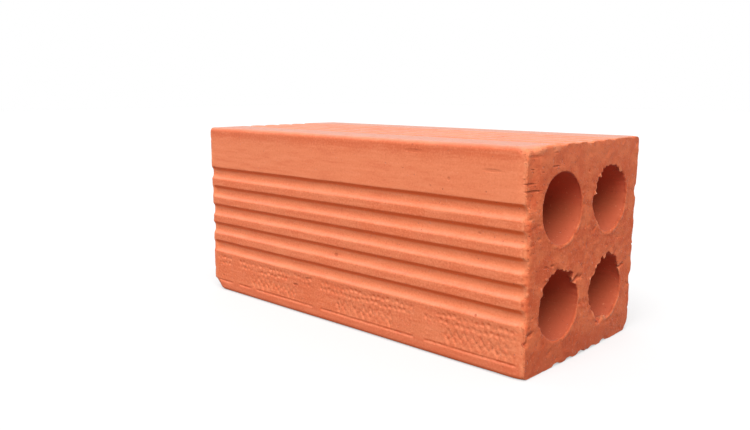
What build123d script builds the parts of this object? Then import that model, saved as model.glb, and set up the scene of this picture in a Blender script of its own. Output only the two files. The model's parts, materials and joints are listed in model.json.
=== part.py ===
"""Extruded clay brick: a square bar of fired clay, wire-cut at both ends.

Four round holes run right through along its length, and each of its four long faces is
combed with a band of shallow grooves that key the mortar or plaster. The brick lies on one
long face. X runs along its length, Z is up, and the origin is the middle of its bed face.
"""

from build123d import *

import os

# Overall size, from one wire cut to the other and from face to face.
brick_length = 180.0
brick_width = 80.0
brick_height = 80.0
long_edge_radius = 2.0

# Round holes from the die's four cores, set out square about the middle of the section.
hole_diameter = 26.0
hole_pitch_across = 35.0
hole_pitch_up = 35.0
hole_columns = 2
hole_rows = 2

# Combed band in the middle of each long face: shallow channels with a flat floor and sloping flanks,
# softened alike where a flank meets the face and where it meets the floor.
groove_count = 5
groove_pitch = 9.0
groove_mouth = 5.8
groove_depth = 1.4
groove_flank_angle = 38.0
groove_edge_radius = 0.7

combed_half_width = ((groove_count - 1) * groove_pitch + groove_mouth) / 2

# The middle of each long face, seen on the section, turned so that local Y points outwards.
face_middles = (
    Location((0, brick_height / 2), 0),
    Location((-brick_width / 2, 0), 90),
    Location((0, -brick_height / 2), 180),
    Location((brick_width / 2, 0), 270),
)


def is_groove_corner(corner):
    """Tell the sharp corners of the grooves from the ends of the brick's rounded edges."""
    return min(abs(corner.X), abs(corner.Y)) < combed_half_width + groove_edge_radius


# The section stands on the plane of the first wire cut, with its middle half way up.
wire_cut = Plane(origin=(-brick_length / 2, 0, brick_height / 2), x_dir=(0, 1, 0), z_dir=(1, 0, 0))

with BuildPart() as brick:
    with BuildSketch(wire_cut) as section:
        # What the die's mouth forms: the rounded square and the combs.
        with BuildSketch(mode=Mode.PRIVATE) as outline:
            RectangleRounded(brick_width, brick_height, long_edge_radius)
            with Locations(*face_middles):
                with GridLocations(groove_pitch, 0, groove_count, 1):
                    Trapezoid(
                        groove_mouth,
                        groove_depth,
                        groove_flank_angle,
                        rotation=180,
                        align=(Align.CENTER, Align.MIN),
                        mode=Mode.SUBTRACT,
                    )
            fillet(outline.vertices().filter_by(is_groove_corner), groove_edge_radius)
        add(outline.sketch)
        # What the die's cores leave open.
        with GridLocations(hole_pitch_across, hole_pitch_up, hole_columns, hole_rows):
            Circle(hole_diameter / 2, mode=Mode.SUBTRACT)
    extrude(amount=brick_length)

brick.part.label = "brick"

os.makedirs("parts", exist_ok=True)
export_step(brick.part, "parts/brick.step")
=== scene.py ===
"""The finished look of a hollow clay brick: torn wire cuts, combed faces, a rolled band and fired skin."""

import json
import math

import bmesh
import bpy
from mathutils import Euler, Matrix, Vector, noise


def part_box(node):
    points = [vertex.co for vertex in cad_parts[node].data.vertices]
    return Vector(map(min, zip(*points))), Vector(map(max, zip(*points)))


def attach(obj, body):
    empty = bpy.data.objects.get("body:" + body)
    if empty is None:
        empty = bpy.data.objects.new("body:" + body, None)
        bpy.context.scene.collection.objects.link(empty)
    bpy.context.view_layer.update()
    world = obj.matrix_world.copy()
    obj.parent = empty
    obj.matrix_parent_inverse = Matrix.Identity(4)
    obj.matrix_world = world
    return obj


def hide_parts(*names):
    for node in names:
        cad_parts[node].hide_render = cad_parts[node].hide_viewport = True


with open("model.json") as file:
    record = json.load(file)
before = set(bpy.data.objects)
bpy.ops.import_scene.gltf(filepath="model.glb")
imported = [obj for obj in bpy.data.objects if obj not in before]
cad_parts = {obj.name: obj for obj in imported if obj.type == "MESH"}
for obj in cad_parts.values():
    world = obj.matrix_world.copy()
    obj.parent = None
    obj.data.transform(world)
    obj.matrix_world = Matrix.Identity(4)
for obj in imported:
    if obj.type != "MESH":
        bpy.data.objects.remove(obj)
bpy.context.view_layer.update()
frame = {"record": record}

# The brick is shaped in millimetres and scaled to metres when it is whole.
millimetre = 0.001

# Overall size and holes, as packed.
brick_low, brick_high = (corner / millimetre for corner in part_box("brick"))
half_length = (brick_high.x - brick_low.x) / 2
half_side = (brick_high.z - brick_low.z) / 2
middle_height = (brick_high.z + brick_low.z) / 2
hole_mounts = {m["name"]: m for m in frame["record"]["mounts"] if m["kind"] == "bore"}
hole_radius = hole_mounts["hole_left_low"]["dims"]["r_mm"]
hole_offset = abs(hole_mounts["hole_left_low"]["pos_m"][1]) / millimetre

# The combed faces and rounded long edges, with the part's own spacing and depth. Each groove's floor is a
# little hollow. It steepens as a power of the distance from its middle, and a rounded lip reaches on from
# there.
groove_count = 5
groove_pitch = 9.0
groove_depth = 1.4
groove_power = 3.0
groove_steepest = 2.4
groove_reach = 3.2
groove_lip = groove_reach - groove_steepest
groove_slope = groove_depth / (groove_steepest / groove_power + groove_lip / 2)
long_edge_radius = 2.0

# How finely the cut face and the long faces are divided. The comb's stops are set out over half a pitch,
# close together on a groove's rounded lip.
comb_stops = (
    0.0,
    0.4 * groove_steepest,
    0.68 * groove_steepest,
    0.86 * groove_steepest,
    groove_steepest,
    groove_steepest + 0.3 * groove_lip,
    groove_steepest + 0.55 * groove_lip,
    groove_steepest + 0.8 * groove_lip,
    groove_steepest + 1.1 * groove_lip,
    (groove_reach + groove_pitch / 2) / 2,
)
comb_steps = len(comb_stops) * groove_count
comb_edge = groove_count * groove_pitch / 2
plain_steps = 24
corner_steps = 5
side_steps = comb_steps + plain_steps + corner_steps
inner_steps = 50
spokes = 2 * side_steps + 2 * inner_steps
rings = 21
skin_cuts = 31
skin_crowding = 2.5
hole_cuts = 13
hole_crowding = 3.0
sharp_angle = 50.0

# Points closer than the first are made one, and a point closer than the second to a surface lies on it.
merge_distance = 0.001
touching = 0.01

# The wire cut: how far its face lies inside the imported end, how much deeper the slack wire cut at the near
# end's lower right and upper left, how far the ridges' noses and the top edge's left part are rolled there,
# and how far the rims and other edges are rolled.
cut_set_back = 0.12
slack_low_right = 1.0
slack_high_left = 1.2
nose_roll = 1.7
top_roll = 1.1
rim_roll = 0.22
arris_roll = 0.45

# How far from the cut its work is seen: all of it, torn rims, scars and crumbled edges, and smeared clay.
# Then how far from a hole's rim the tears pull at the clay, and how far they are reckoned.
end_reach = 9.0
tear_reach = 1.3
scar_reach = 0.8
smear_reach = 1.9
tear_spread = 2.4
tear_width = 9.0

# The rolled band under the combs of the front face: two rows of plain dots over a row of plain lozenges and
# a ruled line, in panels. The lozenges take up the middle of each panel only.
band_low = 3.8
band_high = 18.2
band_end_gap = 1.5
band_spacing = 0.42
panel_pitch = 58.0
panel_length = 53.0
panel_start = 49.0
dot_heights = (16.7, 14.2)
dot_pitch = 2.5
dot_radius = 0.80
dot_depth = 0.50
lozenge_height = 9.0
lozenge_reach = 2.4
lozenge_pitch = 3.6
lozenge_share = 0.36
lozenge_width = 0.46
lozenge_depth = 0.40
lozenge_start = 10.8
lozenge_stop = 43.2
rule_height = 4.9
rule_width = 0.60
rule_depth = 0.40

# The clay's weak gloss, the pale bloom that it shows at a low angle, and how steeply the wire's drag marks
# fall across the cut.
clay_ior = 1.33
bloom_level = 0.45
bloom_spread = 0.18
bloom_tint = (1.0, 0.80, 0.72, 1.0)
wire_slant = math.radians(12.4)

# Light: the way to the soft key lamp, its level and spread, the even surround, how pale the floor is to the
# brick, its paleness and glow as the camera sees it, and how far it reaches in metres.
key_way = (0.30, -0.55, 0.95)
key_level = 1.12
key_spread = 50.0
surround_level = 0.55
floor_bounce = 0.20
floor_tint = 0.35
floor_glow = 0.50
floor_size = 3.0

# Camera: its place in metres, how far it looks down and round in degrees, its lens and how near it sees.
camera_place = (0.2208, -0.2494, 0.0987)
camera_down = 9.6
camera_round = 43.7
camera_lens = 36.1
camera_nearest = 0.01


def smooth(low, high, value):
    """Rise softly from 0 to 1 as the value goes from low to high."""
    t = min(max((value - low) / (high - low), 0.0), 1.0)
    return t * t * (3 - 2 * t)


def ramp(low, high, value):
    """Rise evenly from 0 to 1 as the value goes from low to high."""
    return min(max((value - low) / (high - low), 0.0), 1.0)


def ripple(*place):
    """Return smooth noise between about -1 and 1."""
    return noise.noise(Vector(place))


def jagged(place, seed, around=10**6):
    """Return noise between -1 and 1 that runs in straight stretches with sharp corners."""
    low = math.floor(place)
    first = noise.cell(Vector((low % around, seed, 0.5)))
    second = noise.cell(Vector(((low + 1) % around, seed, 0.5)))
    return first + (second - first) * (place - low)


def groove_drop(along):
    """How deep the comb cuts the face at this distance from the face's middle."""
    number = min(round(abs(along) / groove_pitch), groove_count // 2)
    offset = abs(abs(along) - number * groove_pitch)
    if offset < groove_steepest:
        floor_rise = groove_slope * groove_steepest / groove_power
        return groove_depth - floor_rise * (offset / groove_steepest) ** groove_power
    return groove_slope * max(groove_reach - offset, 0.0) ** 2 / (2 * groove_lip)


def comb_position(step):
    """How far a step across the combed band lies from the face's middle."""
    half_pitch = groove_pitch / 2
    halves, stop = divmod(step, len(comb_stops))
    if halves % 2 == 0:
        return halves * half_pitch + comb_stops[stop]
    return (halves + 1) * half_pitch - (comb_stops[-stop] if stop else half_pitch)


def side_point(step):
    """A point on one quarter's outer side, from the face's middle out to the rounded long edge."""
    if step < comb_steps:
        along = comb_position(step)
        return half_side - groove_drop(along), along
    straight_end = half_side - long_edge_radius
    if step <= comb_steps + plain_steps:
        return half_side, comb_edge + (straight_end - comb_edge) * (step - comb_steps) / plain_steps
    turn = math.radians(45) * (step - comb_steps - plain_steps) / corner_steps
    return (
        straight_end + long_edge_radius * math.cos(turn),
        straight_end + long_edge_radius * math.sin(turn),
    )


def quarter_outline(step):
    """A point on the outline of the quarter section, counted round from the middle of the brick."""
    inner_end = half_side - groove_drop(0)
    if step <= inner_steps:
        return inner_end * step / inner_steps, 0.0
    step -= inner_steps
    if step <= side_steps:
        return side_point(step)
    step -= side_steps
    if step <= side_steps:
        up, across = side_point(side_steps - step)
        return across, up
    step -= side_steps
    return 0.0, inner_end * (inner_steps - step) / inner_steps


def quarter_ring(shape):
    """One quarter of the cut face: a band of faces from the rim of its hole out to its outline."""
    upright = Matrix.Rotation(math.radians(90), 4, "Y") @ Matrix.Rotation(math.radians(90), 4, "Z")
    rim = bmesh.ops.create_circle(shape, segments=spokes, radius=1.0, matrix=upright)["verts"]
    edge = bmesh.ops.create_circle(shape, segments=spokes, radius=2.0, matrix=upright)["verts"]
    rims = list({e for v in rim for e in v.link_edges} | {e for v in edge for e in v.link_edges})
    bmesh.ops.bridge_loops(shape, edges=rims)
    ringed = set(rims)
    spoke_edges = [e for e in shape.edges if e not in ringed]
    bmesh.ops.subdivide_edges(shape, edges=spoke_edges, cuts=rings - 1, use_grid_fill=True)
    first_spoke = math.radians(225)
    for v in shape.verts:
        angle = math.atan2(v.co.z, v.co.y)
        step = round((angle - first_spoke) / math.tau * spokes) % spokes
        reach = math.hypot(v.co.y, v.co.z) - 1
        eased = reach - 0.5 * math.sin(math.tau * reach) / math.tau
        rim_y = hole_offset + hole_radius * math.cos(angle)
        rim_up = hole_offset + hole_radius * math.sin(angle)
        near = Vector((0, rim_y, rim_up))
        far = Vector((0, *quarter_outline(step)))
        v.co = near.lerp(far, eased)


def in_hole_wall(y, up):
    """Tell whether a point of the section is on the rim of a hole."""
    return math.hypot(abs(y) - hole_offset, abs(up) - hole_offset) < hole_radius + touching


def only_verts(geometry):
    """Pick the points out of what an operator returns."""
    return [g for g in geometry if isinstance(g, bmesh.types.BMVert)]


def crowd_to_ends(verts, crowding):
    """Move points along the length so that they lie close together near both ends."""
    for v in verts:
        share = v.co.x / half_length
        v.co.x = half_length * math.tanh(crowding * share) / math.tanh(crowding)


def extruded_brick(shape):
    """The whole brick, straight and clean: the cut face mirrored, extruded and divided along its length."""
    quarter_ring(shape)
    for axis in ("Y", "Z"):
        whole = shape.verts[:] + shape.edges[:] + shape.faces[:]
        bmesh.ops.mirror(shape, geom=whole, merge_dist=merge_distance, axis=axis)
    bmesh.ops.remove_doubles(shape, verts=shape.verts, dist=merge_distance)
    bmesh.ops.translate(shape, verts=shape.verts, vec=(half_length, 0, 0))
    made = bmesh.ops.extrude_face_region(shape, geom=shape.faces[:])["geom"]
    far_face = only_verts(made)
    bmesh.ops.translate(shape, verts=far_face, vec=(-2 * half_length, 0, 0))
    long_edges = [e for e in shape.edges if abs(e.verts[0].co.x - e.verts[1].co.x) > half_length]
    hole_edges = [e for e in long_edges if in_hole_wall(e.verts[0].co.y, e.verts[0].co.z)]
    walled = set(hole_edges)
    skin_edges = [e for e in long_edges if e not in walled]
    made = bmesh.ops.subdivide_edges(shape, edges=hole_edges, cuts=hole_cuts)["geom_inner"]
    crowd_to_ends(only_verts(made), hole_crowding)
    made = bmesh.ops.subdivide_edges(shape, edges=skin_edges, cuts=skin_cuts)["geom_inner"]
    crowd_to_ends(only_verts(made), skin_crowding)
    divide_band(shape)


def is_band_face(face):
    """Tell whether a face lies in the rolled band of the front face."""
    centre = face.calc_center_median()
    height = centre.z + middle_height
    between_ends = abs(centre.x) < half_length - band_end_gap
    return centre.y < merge_distance - half_side and band_low < height < band_high and between_ends


def divide_band(shape):
    """Divide the rolled band finely enough to carry its marks."""
    lengths = {}
    for face in shape.faces:
        if is_band_face(face):
            for edge in face.edges:
                run = abs(edge.verts[0].co.x - edge.verts[1].co.x)
                if run > 1.5 * band_spacing:
                    lengths.setdefault(round(run, 3), set()).add(edge)
    for run, edges in lengths.items():
        bmesh.ops.subdivide_edges(shape, edges=list(edges), cuts=max(round(run / band_spacing) - 1, 1))
    upright_edges = set()
    for face in shape.faces:
        if is_band_face(face):
            for edge in face.edges:
                if abs(edge.verts[0].co.z - edge.verts[1].co.z) > band_spacing:
                    upright_edges.add(edge)
    bmesh.ops.subdivide_edges(shape, edges=list(upright_edges), cuts=1)


# The near end's scars, as (across, up) of both ends from the middle of its face, half width and depth.
near_scores = (
    ((-7.6, -10.4), (-5.4, -9.2), 0.75, 1.50),
    ((-5.4, -9.2), (-2.6, -9.5), 0.55, 1.00),
    ((27.2, -11.7), (32.0, -10.9), 0.55, 0.80),
    ((-38.2, -24.2), (-35.4, -24.0), 0.60, 1.20),
    ((-40.4, -27.0), (-39.4, -26.9), 0.85, 1.20),
    ((11.6, -30.2), (15.6, -30.9), 0.65, 0.80),
    ((0.6, 9.2), (1.4, 9.0), 0.50, 0.45),
    ((-1.6, 2.0), (-1.0, 1.8), 0.45, 0.40),
)

# Finer marks that the shader draws, as their middle, their reach along each axis and their strength. First
# the dark ones: the wire's scores on the near end, a broad painted shade at its upper left corner, and spots
# and smears on the front face.
fine_marks = (
    ((89.5, -38.3, 67.4), (3.0, 4.6, 0.58), 0.80),
    ((89.5, -37.0, 64.9), (3.0, 6.0, 0.62), 1.00),
    ((89.5, -40.4, 72.9), (3.0, 1.1, 0.42), 0.80),
    ((89.5, -36.4, 72.1), (3.0, 1.4, 0.36), 0.60),
    ((89.5, -31.3, 71.0), (3.0, 1.0, 0.36), 0.60),
    ((89.5, -23.3, 72.4), (3.0, 3.2, 0.55), 0.70),
    ((89.5, -23.6, 77.1), (3.0, 1.5, 0.55), 0.40),
    # Painted shade: a broad soft darkening at the near end's upper left corner.
    ((89.5, -36.0, 76.4), (3.0, 4.6, 0.80), 0.35),
    ((89.5, -40.6, 63.0), (3.0, 0.9, 0.40), 0.60),
    ((-3.0, -40.0, 29.9), (1.6, 9.0, 1.1), 0.70),
    ((-28.0, -40.0, 12.8), (2.0, 9.0, 0.8), 0.90),
    ((-20.0, -40.0, 17.0), (1.6, 9.0, 0.6), 0.50),
    ((-0.9, -40.0, 9.2), (1.3, 9.0, 0.8), 0.60),
    ((69.4, -40.0, 19.3), (0.8, 9.0, 0.6), 0.80),
    ((69.7, -40.0, 48.9), (1.0, 9.0, 0.7), 0.45),
    ((56.7, -40.0, 66.9), (0.9, 9.0, 0.9), 0.35),
    ((75.4, -40.0, 71.2), (5.0, 9.0, 0.8), 0.30),
    ((40.0, -40.0, 76.0), (6.0, 9.0, 0.9), 0.25),
)

# Then the pale ones: rubbed and crumbled clay along the near end's top and left edges, painted paler partly
# as wear and partly as painted highlight where they face the light.
pale_marks = (
    ((89.0, -33.2, 78.6), (3.4, 5.4, 2.2), 1.00),
    ((89.0, -38.8, 78.0), (3.4, 2.8, 2.2), 0.90),
    ((89.0, -23.4, 78.8), (3.4, 4.0, 2.0), 0.75),
    ((89.0, -12.0, 79.6), (3.0, 3.0, 1.0), 0.40),
    ((89.0, -39.3, 74.2), (2.4, 1.5, 1.2), 0.70),
    ((89.0, -39.6, 70.0), (2.2, 1.0, 1.4), 0.45),
    ((89.0, -37.3, 55.6), (3.0, 1.9, 0.9), 0.60),
    ((89.0, -37.8, 48.6), (3.0, 0.9, 2.4), 0.50),
    ((89.0, -38.6, 37.5), (3.0, 1.2, 1.2), 0.45),
    ((89.0, -38.2, 30.0), (3.0, 1.3, 1.0), 0.45),
)

# The near end's hole rims, as (degrees round from the +Y side, how far the rim is torn back). Below nought
# the wire has pushed a lip of clay out over the hole. Then how ragged the rim is.
near_rims = {
    (-1, 1): (
        ((0, 0.3), (42, -0.3), (95, -0.3), (128, 0.2), (160, 0.4), (185, 0.4), (215, 0.0), (350, 0.4)),
        0.10,
    ),
    (1, 1): (
        (
            (10, 0.5), (34, 0.3), (44, 0.0), (50, -1.3), (58, -1.1), (63, -0.2), (90, -0.5),
            (110, -0.3), (120, 0.4), (124, -0.7), (134, -0.8), (138, -0.1), (150, -0.5),
            (167, -1.6), (172, 0.9), (186, 0.9), (200, 0.0), (222, -0.7), (246, 0.1),
            (312, -0.1), (338, 0.6),
        ),
        0.62,
    ),
    (-1, -1): (
        (
            (14, 0.1), (26, -0.5), (38, -1.6), (43, -1.5), (48, 0.6), (56, 0.3), (70, -0.8),
            (86, -0.3), (97, 0.5), (112, 0.3), (124, 0.4), (128, -0.4), (134, 0.6), (148, 0.7),
            (152, -0.3), (157, 0.3), (170, 0.5), (206, 0.6), (232, -0.3), (300, 0.0),
        ),
        0.55,
    ),
    (1, -1): (
        (
            (6, -0.2), (24, -0.9), (38, -0.5), (52, 0.2), (66, 0.0), (84, 0.3), (92, 0.2),
            (96, -1.5), (102, -1.3), (106, 0.2), (112, 0.0), (119, -1.5), (130, -0.6),
            (136, -0.9), (144, -1.2), (156, 0.1), (175, 1.2), (188, 0.5), (206, -0.5),
            (228, -0.8), (243, 0.3), (257, 0.8), (263, -1.6), (275, -1.4), (281, 0.1),
            (310, 0.0), (340, 0.5),
        ),
        0.62,
    ),
}

# Crumbs that the wire smeared on to the near end, as (across, up), radius and height.
near_crumbs = (
    ((-9.3, -10.2), 1.3, 0.60),
    ((15.6, -6.0), 1.1, 0.50),
    ((17.0, -29.6), 1.7, 0.60),
    ((8.2, 27.2), 1.0, 0.50),
    ((4.4, 20.6), 1.0, 0.50),
    ((-27.0, -6.4), 1.0, 0.50),
    ((-30.2, -9.7), 1.0, 0.50),
    ((8.2, -7.6), 1.0, 0.50),
    ((4.2, -12.0), 1.0, 0.50),
)

# How full of smeared clay each groove's end is, from the groove lowest or furthest towards -Y.
groove_plugs = {
    (1, "left"): (0.45, 0.50, 0.40, 0.50, 0.60),
    (1, "right"): (0.10, 0.85, 0.90, 0.80, 0.05),
    (1, "top"): (0.80, 0.90, 0.80, 0.90, 0.85),
    (1, "bottom"): (0.45, 0.60, 0.40, 0.60, 0.50),
    (-1, "left"): (0.75, 0.32, 0.38, 0.82, 0.30),
    (-1, "right"): (0.20, 0.70, 0.10, 0.60, 0.30),
    (-1, "top"): (0.60, 0.30, 0.70, 0.20, 0.50),
    (-1, "bottom"): (0.30, 0.60, 0.20, 0.70, 0.40),
}


def distance_to_line(point, start, end):
    """How far a point of the section is from the line between two others."""
    run = end - start
    share = min(max((point - start).dot(run) / run.length_squared, 0.0), 1.0)
    return (point - start - run * share).length


def skin_distance(y, up):
    """How far a point of the section lies inside the combed outline, and the way in from there."""
    corner = half_side - long_edge_radius
    over_y, over_up = abs(y) - corner, abs(up) - corner
    if over_y > 0 and over_up > 0:
        out = Vector((math.copysign(over_y, y), math.copysign(over_up, up)))
        return long_edge_radius - out.length, -out.normalized()
    from_side = half_side - groove_drop(up) - abs(y)
    from_top = half_side - groove_drop(y) - abs(up)
    if from_side < from_top:
        return from_side, Vector((-math.copysign(1, y), 0))
    return from_top, Vector((0, -math.copysign(1, up)))


def rolled(distance, radius):
    """The drop of a rounded edge at this distance from it."""
    if distance >= radius:
        return 0.0
    return radius - math.sqrt(max(radius**2 - (radius - max(distance, 0.0)) ** 2, 0.0))


def along_corners(corners, angle):
    """Read a closed line of (angle, value) corners at an angle in degrees."""
    before, value = corners[-1]
    before -= 360
    for after, next_value in (*corners, (corners[0][0] + 360, corners[0][1])):
        if angle <= after:
            return value + (next_value - value) * (angle - before) / (after - before)
        before, value = after, next_value
    return value


def rim_tear(side, level, end, spoke):
    """How far the rim of a hole is torn back in the direction of this spoke."""
    angle = math.degrees(math.atan2(spoke.y, spoke.x)) % 360
    seed = 3 * side + 5 * level + 11 * end
    if end > 0:
        corners, raggedness = near_rims[(side, level)]
        tear = along_corners(corners, angle)
    else:
        raggedness = 0.50
        tear = 0.35 * jagged(angle / 24, seed, 15) + 0.45 * jagged(angle / 9, seed + 3, 40)
    towards_wire = 0.5 + 0.5 * spoke.normalized().dot(Vector((-0.7, 0.7)))
    fine = 0.6 * jagged(angle / 5, seed + 1, 72) + 0.4 * jagged(angle / 2.5, seed + 2, 144)
    return tear + raggedness * (0.2 + 1.1 * towards_wire) * fine


def rim_lip(spoke, from_rim):
    """The low lip that the wire raised round the lower right of each hole."""
    away_from_wire = smooth(-0.1, 0.8, spoke.normalized().dot(Vector((0.55, -0.83))))
    broken = smooth(-0.5, 0.3, ripple(spoke.x / 3.5, spoke.y / 3.5, 7.0))
    return 0.20 * away_from_wire * broken * math.exp(-(((from_rim - 0.9) / 0.5) ** 2))


def arris_chip(y, up, inward, end):
    """How deep the brittle arris is chipped here, in sharp-cornered bites of uneven size."""
    along = up if abs(inward.x) > abs(inward.y) else y
    seed = round(3 * inward.x + 5 * inward.y) + 11 * end
    crumbly = smooth(-0.1, 0.45, ripple(along / 9, seed, 5.0))
    bite = max(0.0, jagged(along / 3.1, seed) - 0.35) + 0.6 * max(0.0, jagged(along / 1.3, seed + 2) - 0.3)
    calm = 0.3 if inward.x < -0.5 else 1.0
    return 0.7 * bite * crumbly * calm


def groove_plug(y, up, inward, end, from_end):
    """How far the smeared clay fills the comb at this point of the section."""
    if abs(inward.x) > 0.99:
        face, along = ("left" if y < 0 else "right"), up
    elif abs(inward.y) > 0.99:
        face, along = ("bottom" if up < 0 else "top"), y
    else:
        return 0.0
    number = round(along / groove_pitch) + groove_count // 2
    if not 0 <= number < groove_count:
        return 0.0
    ragged = 0.5 * ripple(y / 1.6, up / 1.6, 17 * end)
    thick = smooth(smear_reach, 0.4, from_end + ragged)
    return groove_drop(along) * groove_plugs[(end, face)][number] * thick


def slack_cut(y, up):
    """How much deeper the slack wire cut the near end: a twist, an upper left step and the left grooves."""
    low_right = slack_low_right * max(y / half_side, 0.0) * (half_side - up) / (2 * half_side)
    high_left = slack_high_left * smooth(17.0, 23.0, up) * smooth(-31, -38, y)
    groove_ends = 0.35 * groove_drop(up) * smooth(2.5 - half_side, 0.5 - half_side, y)
    return low_right + high_left + groove_ends


def dragged_edge(y, up):
    """The extra rounding where the wire dragged the near end's left ridges and top edge with it."""
    on_ridge = 1 - groove_drop(up) / groove_depth
    uneven = 0.75 + 0.5 * ripple(up / 5, 3.0, 2.0)
    combed = smooth(22.5, 19.0, abs(up + 1.5))
    at_edge = smooth(3 - half_side, 2 - half_side, y)
    crumbly = 0.7 + 0.6 * ripple(y / 2.6, 5.0, 3.0)
    top_edge = top_roll * crumbly * smooth(-13, -25, y) * smooth(half_side - 3, half_side - 2, up)
    return nose_roll * uneven * on_ridge * combed * at_edge + top_edge


def cut_relief(y, up, end):
    """How far the wire-cut face lies below its plane at this point of the section."""
    shift = 11.0 * end
    tilted = up + 0.22 * y
    broad = 0.10 * (1 + ripple(y / 26, up / 26, shift))
    dragged_here = smooth(0.0, 0.5, ripple(y / 17, up / 13, shift + 4))
    drag = 0.16 * ripple(y / 12 + 3, tilted / 1.9, shift + 2) * dragged_here
    lumps = 0.16 * ripple(y / 4.2, up / 3.0, shift + 6)
    grain = 0.06 * ripple(y / 1.1, up / 0.9, shift + 8)
    pit = 1.5 * max(0.0, ripple(y / 2.4, up / 1.5, shift + 10) - 0.44)
    slack = slack_cut(y, up) if end > 0 else 0.0
    return slack + broad + drag + lumps + grain + pit


def near_scars(y, up):
    """The near end's own scars: positive where clay is torn out, negative where crumbs stand up."""
    point = Vector((y, up))
    drop = 0.0
    for start, end, width, depth in near_scores:
        away = distance_to_line(point, Vector(start), Vector(end))
        if away < 3 * width:
            drop += depth * math.exp(-((away / width) ** 2)) * (0.8 + 0.5 * ripple(y, up, 4))
    for centre, radius, height in near_crumbs:
        away = (point - Vector(centre)).length
        if away < radius:
            drop -= height * smooth(radius, 0.2 * radius, away)
    return drop


def dot_press(in_panel, panel, height):
    """How deep the rows of dots are pressed, the lower row set half a step along from the upper."""
    pressed = 0.0
    for row, dot_height in enumerate(dot_heights):
        number, offset = divmod(in_panel / dot_pitch + row / 2, 1.0)
        uneven = noise.cell(Vector((number, panel, row + 0.5)))
        away = math.hypot((offset - 0.5) * dot_pitch, height - dot_height - 0.4 * (uneven - 0.5))
        pressed += dot_depth * (0.8 + 0.2 * uneven) * smooth(dot_radius + 0.25, dot_radius - 0.45, away)
    return pressed


def lozenge_press(in_panel, panel, height):
    """How deep the row of lozenges is pressed."""
    if not lozenge_start < in_panel < lozenge_stop:
        return 0.0
    number, offset = divmod(in_panel / lozenge_pitch, 1.0)
    uneven = noise.cell(Vector((number, panel, 1.5)))
    across = abs(offset - 0.5) / lozenge_share
    along = abs(height - lozenge_height) / (lozenge_reach * (1 + 0.1 * uneven))
    from_outline = abs(across + along - 1) * lozenge_share * lozenge_pitch * 0.85
    return lozenge_depth * smooth(lozenge_width + 0.2, 0.15, from_outline)


def band_relief(x, height):
    """How deep the rolled band is pressed at this point of the front face. Parts of it are worn away."""
    from_near_end = half_length - x
    panel, in_panel = divmod(from_near_end - panel_start, panel_pitch)
    edge_fade = smooth(0.0, 0.6, in_panel) * smooth(panel_length, panel_length - 0.6, in_panel)
    edge_fade *= smooth(2.5, 4.0, from_near_end) * smooth(2.5, 4.0, 2 * half_length - from_near_end)
    kept = smooth(-0.6, 0.1, ripple(x / 9, height / 9, 1.0))
    kept *= smooth(-0.8, 0.0, ripple(x / 3.2, height / 3, 4.0))
    marks = dot_press(in_panel, panel, height) + lozenge_press(in_panel, panel, height)
    rule = rule_depth * smooth(rule_width, 0.15, abs(height - rule_height))
    rule *= smooth(-0.7, -0.1, ripple(x / 9, 3.0, 8.0))
    rough = 0.09 * (1 + ripple(x / 1.1, height / 1.0, 6.0))
    rough *= smooth(4.6, 6.2, height) * smooth(19.0, 17.0, height)
    return (marks * kept + rule + rough) * edge_fade


def corner_wear(x, y, up):
    """How far the worn corners sink, as a move across the section."""
    move = Vector((0.0, 0.0))
    from_near = half_length - x
    from_far = half_length + x
    top = smooth(half_side - 11, half_side, up)
    left = smooth(half_side - 8, half_side, -y)
    right = smooth(half_side - 6, half_side, y)
    scoop = smooth(5.5, 0.0, from_near) * smooth(half_side - 13, half_side - 1, -y)
    move.y -= (1.6 + 0.7 * jagged(y / 2.1, 6)) * scoop * top
    move.x += 0.8 * scoop * left
    bite = smooth(4.5, 0.0, from_near)
    bite *= smooth(half_side - 4.2, half_side - 0.4, y) * smooth(half_side - 5.0, half_side - 0.4, -up)
    move += Vector((-1.5, 1.3)) * bite
    gone = ramp(5.5, 0.2, from_far) * ramp(half_side - 5.5, half_side, -up)
    move += Vector((1.8, 4.0)) * left * gone
    nick = smooth(3.0, 0.0, from_far)
    move += Vector((-1.2 * right * top * nick, -1.5 * right * top * nick))
    return move


def crumbling(y, up, end):
    """How the clay crumbles at this point of the cut, as coarse noise with finer noise on it."""
    crumble = 0.8 * ripple(y / 2.1, up / 2.1, 31 * end) + 0.5 * ripple(y / 0.8, up / 0.8, 37 * end)
    if y > half_side - 1.5:
        crumble *= 0.4
    return crumble


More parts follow.
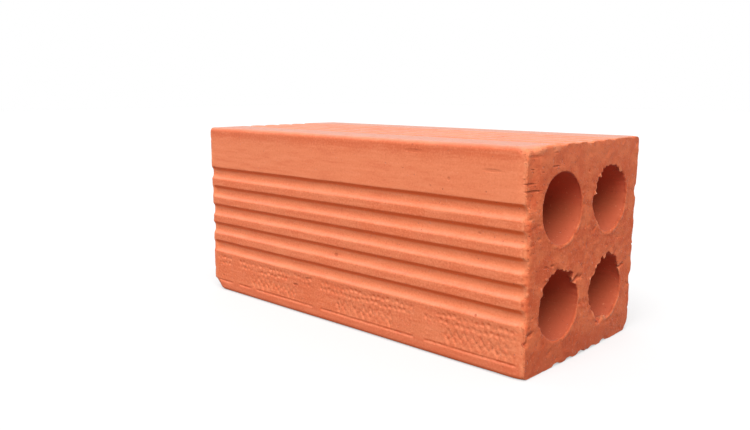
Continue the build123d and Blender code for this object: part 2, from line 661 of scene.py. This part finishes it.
class ClayPoint:
    """A point of the straight brick: where it lies, and what the wire, the die and wear make of it."""

    def __init__(self, point):
        self.x, self.y, self.up = point
        self.end = 1 if self.x > 0 else -1
        self.from_end = half_length - abs(self.x)
        self.inside, self.inward = skin_distance(self.y, self.up)
        self.side = 1 if self.y > 0 else -1
        self.level = 1 if self.up > 0 else -1
        self.spoke = Vector((self.y - self.side * hole_offset, self.up - self.level * hole_offset))
        self.from_rim = max(self.spoke.length - hole_radius, 0.0)
        self.on_wall = self.from_rim < touching
        self.on_skin = self.inside < touching
        self.section = Vector((self.y, self.up))
        self.torn = 0.0
        self.worn = 0.0

    def tear_rim(self):
        """The wire tears the rims of the holes back, or pushes thin lips of clay out over them."""
        tear = rim_tear(self.side, self.level, self.end, self.spoke)
        near_cut = math.exp(-self.from_end / tear_reach)
        self.section += self.spoke.normalized() * tear * near_cut * math.exp(-self.from_rim / tear_spread)
        rim_only = near_cut * math.exp(-self.from_rim / 0.7)
        # The torn rim is noted as torn, which the shader paints dark as painted shade in its hollow.
        self.torn += smooth(0.35, 1.1, tear) * rim_only
        # A lip pushed out over the hole is noted as worn, painted paler partly as painted highlight.
        self.worn += smooth(-0.25, -1.0, tear) * rim_only

    def roughen_skin(self):
        """The long faces are a little uneven along the length, and the front one has the rolled band."""
        x, y, up, inward = self.x, self.y, self.up, self.inward
        heave = 0.10 * (1 + ripple(x / 45, y / 30, up / 30))
        self.section += Vector((inward.y, -inward.x)) * 0.16 * ripple(x / 17, y / 11, up / 11)
        nick = 0.9 * max(0.0, ripple(x / 2.3, y / 3.1, up / 3.1) - 0.45) * smooth(20, 4, self.from_end)
        self.section += inward * (heave + nick)
        if y < 0.5 - half_side:
            pressed = band_relief(x, up + middle_height)
            self.section += inward * pressed
            # The pressed marks are painted paler in patches.
            self.worn += 1.2 * pressed * smooth(-0.5, 0.2, ripple(x / 3, up / 3, 9.0))

    def work_end(self):
        """The wire leaves the end uneven, its edges rolled or crumbled and its grooves half filled."""
        y, up, end = self.y, self.up, self.end
        relief = self.uneven_cut()
        crumble = crumbling(y, up, end)
        arris = arris_roll * (1 + 0.6 * crumble) + (dragged_edge(y, up) if end > 0 else 0.0)
        chip = arris_chip(y, up, self.inward, end) * smooth(2.0, 0.2, self.inside)
        relief += rolled(self.inside, arris) + chip
        lip = rim_lip(self.spoke, self.from_rim)
        relief += rolled(self.from_rim, rim_roll * (1 + 0.25 * crumble)) - lip
        self.rub_edges(lip)
        plug = groove_plug(y, up, self.inward, end, self.from_end)
        self.section -= self.inward * plug * math.exp(-self.inside / 1.5)
        if self.on_skin:
            at_cut = math.exp(-self.from_end / scar_reach)
            self.section += self.inward * (0.16 * (1 + crumble) + 0.5 * chip) * at_cut
        fade = smooth(end_reach, 0.0, self.from_end)
        self.x = end * (half_length - self.from_end - max(relief, 0.0) * fade)

    def uneven_cut(self):
        """How far the cut lies in here, with the near end's own scars."""
        relief = cut_set_back + cut_relief(self.y, self.up, self.end)
        if self.end > 0:
            scar = near_scars(self.y, self.up) * math.exp(-self.from_end / scar_reach)
            relief += scar
            # Scars are noted as torn, painted dark as painted shade.
            self.torn += smooth(0.25, 0.9, scar)
            # Crumbs that stand up are noted as worn, painted paler partly as painted highlight.
            self.worn += smooth(-0.15, -0.45, scar)
        return relief

    def rub_edges(self, lip):
        """Note where the lips, the edges and the rims at the cut are rubbed, in patches, for a paler colour:
        partly wear, partly painted highlight where they catch the light.
        """
        self.worn += 2.2 * lip
        patchy = 0.55 + 0.45 * ripple(self.y / 6, self.up / 6, 53 * self.end)
        self.worn += patchy * smooth(1.0, 0.0, self.inside) * smooth(2.4, 0.0, self.from_end)
        self.worn += 0.3 * patchy * smooth(0.8, 0.0, self.from_rim) * smooth(1.5, 0.0, self.from_end)

    def work(self):
        """Do all the work on this point."""
        at_end = self.from_end < end_reach
        if at_end and self.from_rim < tear_width:
            self.tear_rim()
        if self.on_skin:
            self.roughen_skin()
        if at_end:
            self.work_end()
        if at_end or self.on_skin:
            self.section += corner_wear(self.x, self.y, self.up)

    def notes(self):
        """What the shader is told of the clay here, each from 0 to 1."""
        straight = (self.on_wall or self.on_skin) and self.from_end > 0.2
        from_middle = self.up if abs(self.y) > abs(self.up) else self.y
        return {
            "cut": 0.0 if straight else 1.0,
            # torn is painted dark as painted shade; worn is painted paler, partly as painted highlight.
            "torn": min(self.torn, 1.0),
            "worn": min(self.worn, 1.0),
            "hollow": groove_drop(from_middle) / groove_depth if self.on_skin else 0.0,
            "bore": 1.0 if self.on_wall else 0.0,
        }


def sculpt(shape):
    """Work the straight brick into the real one, within its box, and note what the clay is like."""
    layers = {}
    for name in ("cut", "torn", "worn", "hollow", "bore"):
        layers[name] = shape.verts.layers.float.new(name)
    for v in shape.verts:
        point = ClayPoint(v.co)
        point.work()
        v.co = Vector((point.x, point.section.x, point.section.y + middle_height))
        for name, level in point.notes().items():
            v[layers[name]] = level


def add_piece(name, shape):
    """Put a finished shape into the scene as a new piece."""
    mesh = bpy.data.meshes.new(name)
    shape.to_mesh(mesh)
    shape.free()
    piece = bpy.data.objects.new(name, mesh)
    bpy.context.collection.objects.link(piece)
    return piece


def make_brick():
    """Build the brick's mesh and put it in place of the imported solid."""
    shape = bmesh.new()
    extruded_brick(shape)
    sculpt(shape)
    bmesh.ops.recalc_face_normals(shape, faces=shape.faces)
    bmesh.ops.scale(shape, vec=(millimetre,) * 3, verts=shape.verts)
    piece = add_piece("brick_skin", shape)
    piece.data.shade_smooth()
    piece.data.set_sharp_from_angle(angle=math.radians(sharp_angle))
    piece.data.materials.append(fired_clay())
    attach(piece, "root")
    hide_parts("brick")


class Wire:
    """A node's output socket. Arithmetic on it adds Math nodes to its graph."""

    def __init__(self, graph, socket):
        self.graph = graph
        self.socket = socket

    def reckon(self, operation, *values):
        return self.graph.add("ShaderNodeMath", {"operation": operation}, *values)

    def __add__(self, other):
        return self.reckon("ADD", self, other)

    def __radd__(self, other):
        return self.reckon("ADD", other, self)

    def __sub__(self, other):
        return self.reckon("SUBTRACT", self, other)

    def __rsub__(self, other):
        return self.reckon("SUBTRACT", other, self)

    def __mul__(self, other):
        return self.reckon("MULTIPLY", self, other)

    def __pow__(self, other):
        return self.reckon("POWER", self, other)


class Graph:
    """The nodes of one material or world, made and joined by one method."""

    def __init__(self, tree):
        self.tree = tree
        tree.nodes.clear()

    def add(self, kind, settings, *values, output=0, **named):
        """Make a node, set it, then give its sockets their values or links, in order or by name."""
        node = self.tree.nodes.new(kind)
        for name, value in settings.items():
            setattr(node, name, value)
        open_inputs = [s for s in node.inputs if s.enabled]
        pairs = list(zip(open_inputs, values))
        for name, value in named.items():
            label = name.replace("_", " ")
            pairs.append((next(s for s in open_inputs if s.name == label), value))
        for socket, value in pairs:
            if isinstance(value, Wire):
                self.tree.links.new(value.socket, socket)
            else:
                socket.default_value = value
        open_outputs = [s for s in node.outputs if s.enabled]
        return Wire(self, open_outputs[output]) if open_outputs else None

    def blend(self, factor, first, second):
        """Mix two colours."""
        settings = {"data_type": "RGBA", "blend_type": "MIX"}
        return self.add("ShaderNodeMix", settings, factor, first, second)

    def overlay(self, base, layers):
        """Lay colours over a base one after another, each as strongly as its own factor says."""
        for factor, layer in layers:
            base = self.blend(factor, base, layer)
        return base

    def stretched(self, place, scale):
        """Scale coordinates by a vector, so that a pattern is drawn out one way."""
        return self.add("ShaderNodeVectorMath", {"operation": "MULTIPLY"}, place, scale)

    def mottle(self, place, scale, detail=2.0, roughness=0.5):
        """Fractal noise from 0 to 1 at a scale given in cycles for each unit of place."""
        settings = {"noise_dimensions": "3D", "normalize": True}
        named = {"Scale": scale, "Detail": detail, "Roughness": roughness}
        return self.add("ShaderNodeTexNoise", settings, Vector=place, **named)

    def step(self, value, low, high, to_low=0.0, to_high=1.0):
        """Rise softly from one level to another as the value goes from low to high."""
        settings = {"interpolation_type": "SMOOTHSTEP", "clamp": True}
        named = {"From_Min": low, "From_Max": high, "To_Min": to_low, "To_Max": to_high}
        return self.add("ShaderNodeMapRange", settings, Value=value, **named)

    def spot(self, place, middle, reach):
        """An oval spot: 1 in its middle, fading to 0 at its reach along each axis."""
        scale = tuple(1 / r for r in reach)
        centre = tuple(m * s for m, s in zip(middle, scale))
        stretched = self.stretched(place, scale)
        away = self.add("ShaderNodeVectorMath", {"operation": "DISTANCE"}, stretched, centre)
        return self.step(away, 1.0, 0.35)

    def spots(self, place, table):
        """All the spots of a table, each a middle, its reach along each axis and its strength."""
        total = 0.0
        for middle, reach, strength in table:
            total = total + self.spot(place, middle, reach) * strength
        return total

    def field(self, name):
        """One of the piece's own attributes."""
        return self.add("ShaderNodeAttribute", {"attribute_name": name}, output=2)


def colour(red, green, blue):
    """A colour in linear light."""
    return (red, green, blue, 1.0)


def grey(level):
    """A plain grey in linear light."""
    return (level, level, level, 1.0)


class ClayLook:
    """Fired clay as shader nodes: the notes on the mesh, the noises laid over it, and what they make."""

    def __init__(self, graph):
        self.graph = graph
        raw = graph.add("ShaderNodeTexCoord", {}, output=3)
        self.place = graph.stretched(raw, (1 / millimetre,) * 3)
        self.cut = graph.field("cut")
        self.torn = graph.field("torn")
        self.worn = graph.field("worn")
        self.bore = graph.field("bore")
        self.hollow = graph.field("hollow")
        facing = graph.add("ShaderNodeTexCoord", {}, output=1)
        self.upright = graph.add("ShaderNodeSeparateXYZ", {}, facing, output=2)
        self.high_up = graph.add("ShaderNodeSeparateXYZ", {}, self.place, output=2)
        self.add_noises()
        self.add_marks()

    def add_noises(self):
        """Broad fire marks, streaks drawn by the die and by the wire, fine grain and specks."""
        g, place = self.graph, self.place
        self.broad = g.mottle(place, 0.035, 3.0, 0.55)
        self.cloud = g.mottle(place, 0.16, 3.0, 0.6)
        self.drawn = g.mottle(g.stretched(place, (0.03, 1.0, 1.0)), 0.55, 3.0, 0.6)
        self.smear = g.mottle(g.stretched(place, (0.14, 1.0, 1.0)), 0.50, 3.0, 0.6)
        self.blotch = g.mottle(place, 0.30, 2.0, 0.5)
        self.sand = g.mottle(place, 1.2, 2.0, 0.6)
        across_wire = g.add("ShaderNodeMapping", {}, place, Rotation=(wire_slant, 0, 0))
        self.dragged = g.mottle(g.stretched(across_wire, (1.0, 0.22, 1.0)), 0.5, 3.0, 0.6)
        self.grain = g.mottle(place, 2.2, 3.0, 0.7)
        self.speck = g.mottle(place, 0.9, 1.0, 0.5)

    def add_marks(self):
        """What the colour and the relief share: pores, crumbled clay and rubbed places, partly painted
        highlight, and fine marks, one of them painted shade.
        """
        g, place = self.graph, self.place
        self.pitted = g.step(self.speck + self.cut * 0.055, 0.725, 0.785)
        self.crumbled = g.step(self.worn + g.mottle(place, 0.7, 3.0, 0.6) * 1.2, 0.70, 1.45)
        self.rubbed = g.spots(place, pale_marks) * g.step(self.grain, 0.35, 0.62, 0.45, 1.0)
        self.marked = g.spots(place, fine_marks)

    def long_faces(self):
        """The drawn skin: streaks and sand, with painted light on the upper strip and in the grooves,
        painted shade under the top edge, near the bed and on overhung flanks, and a top paled by dust and
        painted sheen.
        """
        g, high_up, sand = self.graph, self.high_up, self.sand
        # Painted light: the flat strip over the combs, high on the long faces, is painted paler.
        painted_light_strip = g.step(high_up, 57.0, 62.0) * g.step(high_up, 78.0, 71.5)
        # Painted shade: a darker band just under the rounded top edge.
        shade_under_edge = g.step(high_up, 74.5, 77.0) * g.step(high_up, 79.6, 78.6)
        # Painted shade: faces that hang over, such as the grooves' upper flanks, are painted darker and
        # redder.
        overhung_shade = g.step(self.upright, -0.15, -0.6) * g.step(self.upright, -0.95, -0.8)
        # Up-facing clay is painted paler: partly dust, partly painted sheen on the top and painted highlight
        # on the grooves' lower flanks.
        dust_and_sheen = g.add("ShaderNodeClamp", {}, self.upright, 0.0, 1.0) ** 2.5
        broad = g.step(self.broad, 0.35, 0.65)
        skin = g.blend(broad, colour(0.760, 0.177, 0.069), colour(0.765, 0.211, 0.092))
        layers = (
            (g.step(self.cloud, 0.42, 0.68) * 0.55, colour(0.79, 0.210, 0.094)),
            (g.step(self.drawn, 0.48, 0.70) * 0.38, colour(0.65, 0.125, 0.046)),
            (g.step(sand, 0.50, 0.70) * 0.42, colour(0.88, 0.258, 0.124)),
            (g.step(sand, 0.48, 0.30) * 0.38, colour(0.62, 0.122, 0.050)),
            (g.step(self.blotch, 0.58, 0.74) * 0.30, colour(0.78, 0.135, 0.056)),
            (painted_light_strip * 0.75, colour(0.85, 0.245, 0.110)),
            (shade_under_edge * 0.38, colour(0.66, 0.120, 0.044)),
            # Painted shade: the long faces are painted darker near the bed.
            (g.step(high_up, 7.0, 2.0) * 0.5, colour(0.64, 0.132, 0.058)),
            # Painted light: the grooves are painted paler the deeper they are, lifting their shade.
            (self.hollow * 0.60, colour(0.88, 0.252, 0.106)),
            (g.step(self.smear, 0.50, 0.66) * 0.26, colour(0.66, 0.125, 0.050)),
            (g.step(self.smear, 0.48, 0.34) * 0.26, colour(0.94, 0.300, 0.150)),
            (g.step(sand, 0.52, 0.68) * 0.16, colour(0.95, 0.310, 0.155)),
            (g.step(sand, 0.46, 0.30) * 0.20, colour(0.62, 0.118, 0.048)),
            (overhung_shade * 0.9, colour(0.84, 0.140, 0.028)),
            (dust_and_sheen * g.step(self.cloud, 0.3, 0.7, 0.45, 0.72), colour(0.60, 0.322, 0.245)),
        )
        return g.overlay(skin, layers)

    def cut_faces(self):
        """The wire-cut ends: redder, with dragged streaks, painted paler high up as painted light and darker
        near the bed as painted shade.
        """
        g, sand = self.graph, self.sand
        cloud = g.step(self.cloud, 0.36, 0.64)
        face = g.blend(cloud, colour(0.64, 0.110, 0.037), colour(0.76, 0.172, 0.064))
        layers = (
            (g.step(self.dragged, 0.50, 0.68) * 0.45, colour(0.56, 0.088, 0.030)),
            (g.step(self.blotch, 0.52, 0.70) * 0.35, colour(0.80, 0.205, 0.085)),
            (g.step(sand, 0.52, 0.70) * 0.35, colour(0.86, 0.225, 0.100)),
            (g.step(sand, 0.44, 0.28) * 0.22, colour(0.50, 0.075, 0.026)),
            # Painted light high up on the cut ends, then painted shade near the bed.
            (g.step(self.high_up, 62.0, 80.0) * 0.30, colour(0.84, 0.220, 0.100)),
            (g.step(self.high_up, 15.0, 1.0) * 0.60, colour(0.50, 0.085, 0.032)),
        )
        return g.overlay(face, layers)

    def hole_walls(self):
        """The holes' walls: painted darker and redder than the faces, redder still where they face down and
        darker in the lower holes, all as painted shade.
        """
        g = self.graph
        # Painted shade inside the holes: redder where the walls face down, darker in the lower holes.
        down_facing_shade = g.step(self.upright, 0.3, -0.5)
        wall = g.blend(down_facing_shade, colour(0.54, 0.103, 0.041), colour(0.68, 0.096, 0.043))
        return g.blend(g.step(self.high_up, 42.0, 30.0) * 0.26, wall, colour(0.42, 0.060, 0.024))

    def whole_colour(self):
        """The three kinds of surface together, with grain, pores, specks, marks, torn clay painted dark as
        painted shade, and crumbled clay painted paler, partly as painted highlight.
        """
        g = self.graph
        clay = g.blend(self.cut, self.long_faces(), self.cut_faces())
        clay = g.blend(self.bore * 0.92, clay, self.hole_walls())
        layers = (
            (g.step(self.grain, 0.55, 0.75) * 0.20, colour(0.55, 0.090, 0.034)),
            (self.pitted * 0.45, colour(0.42, 0.060, 0.024)),
            (g.step(self.speck, 0.30, 0.25) * 0.30, colour(0.92, 0.360, 0.190)),
            # Crumbled clay is painted paler: partly wear, partly painted highlight on edges, lips and crumbs
            # that face the light.
            (self.crumbled * g.step(self.grain, 0.35, 0.6, 0.30, 0.68), colour(0.95, 0.320, 0.150)),
            # Painted shade: torn rims and scars are painted dark.
            (self.torn * 0.7, colour(0.42, 0.060, 0.026)),
            # Painted highlight and wear: the pale marks along the near end's top and left edges.
            (self.rubbed * 0.60, colour(0.98, 0.350, 0.170)),
            # Dark marks, one of them a painted shade at the near end's upper left corner.
            (self.marked * 0.75, colour(0.42, 0.070, 0.024)),
        )
        return g.overlay(clay, layers)

    def relief(self):
        """Fine relief in millimetres, as a bump."""
        g, place = self.graph, self.place
        on_skin = self.drawn * 0.05 + self.grain * 0.03
        on_cut = self.dragged * 0.08 + self.grain * 0.12 + g.mottle(place, 0.8, 3.0, 0.7) * 0.16
        height = on_skin * (1 - self.cut) + on_cut * self.cut
        height = height - self.pitted * 0.16 + self.crumbled * g.mottle(place, 1.4, 2.0, 0.6) * 0.14
        height = height + self.rubbed * g.mottle(place, 1.7, 2.0, 0.6) * 0.16 - self.marked * 0.30
        return g.add("ShaderNodeBump", {}, Strength=1.0, Distance=millimetre, Height=height)


def new_material(name):
    """Make a material, and the graph for its nodes."""
    material = bpy.data.materials.new(name)
    material.use_nodes = True
    return material, Graph(material.node_tree)


def fired_clay():
    """Orange-red fired clay: a smooth drawn skin on the long faces and a dragged grain on the cuts."""
    material, g = new_material("fired_clay_skin")
    look = ClayLook(g)
    rough = g.step(look.grain, 0.3, 0.7, 0.44, 0.58) + look.cut * 0.3 + look.bore * 0.25
    bloom = {"Sheen_Weight": bloom_level, "Sheen_Roughness": bloom_spread, "Sheen_Tint": bloom_tint}
    varying = {"Base_Color": look.whole_colour(), "Roughness": rough, "Normal": look.relief()}
    surface = g.add("ShaderNodeBsdfPrincipled", {}, IOR=clay_ior, **varying, **bloom)
    g.add("ShaderNodeOutputMaterial", {}, Surface=surface)
    return material


def make_floor():
    """A plain white floor that keeps the brick's soft shadow."""
    shape = bmesh.new()
    bmesh.ops.create_grid(shape, x_segments=1, y_segments=1, size=floor_size)
    floor = add_piece("floor", shape)
    material, g = new_material("white_floor")
    path = g.add("ShaderNodeLightPath", {}, output=0)
    tint = g.blend(path, grey(floor_bounce), grey(floor_tint))
    glow = g.blend(path, grey(0.0), grey(floor_glow))
    settings = {"Base_Color": tint, "Emission_Color": glow, "Emission_Strength": 1.0, "Roughness": 0.9}
    surface = g.add("ShaderNodeBsdfPrincipled", {}, **settings)
    g.add("ShaderNodeOutputMaterial", {}, Surface=surface)
    floor.data.materials.append(material)


def make_lights():
    """A soft lamp high up and a little left of the camera, and an even white surround."""
    world = bpy.data.worlds.new("surround")
    bpy.context.scene.world = world
    world.use_nodes = True
    g = Graph(world.node_tree)
    path = "ShaderNodeLightPath"
    camera, glossy, through = (g.add(path, {}, output=number) for number in (0, 3, 6))
    seen = g.add("ShaderNodeClamp", {}, camera + glossy + through, 0.0, 1.0)
    shade = g.blend(seen, grey(surround_level), grey(1.0))
    background = g.add("ShaderNodeBackground", {}, Color=shade, Strength=1.0)
    g.add("ShaderNodeOutputWorld", {}, Surface=background)

    lamp_data = bpy.data.lights.new("key_lamp", "SUN")
    lamp_data.angle = math.radians(key_spread)
    lamp_data.energy = math.pi * key_level
    lamp = bpy.data.objects.new("key_lamp", lamp_data)
    bpy.context.collection.objects.link(lamp)
    lamp.rotation_mode = "QUATERNION"
    lamp.rotation_quaternion = (-Vector(key_way)).to_track_quat("-Z", "Y")


def make_camera():
    """The camera close to the brick's near corner, a little above it."""
    camera_data = bpy.data.cameras.new("camera")
    camera_data.lens = camera_lens
    camera_data.clip_start = camera_nearest
    camera = bpy.data.objects.new("camera", camera_data)
    bpy.context.collection.objects.link(camera)
    camera.location = camera_place
    camera.rotation_euler = Euler((math.radians(90 - camera_down), 0, math.radians(camera_round)))
    bpy.context.scene.camera = camera


make_camera()
make_brick()
make_floor()
make_lights()
bpy.context.scene.view_settings.view_transform = "Standard"
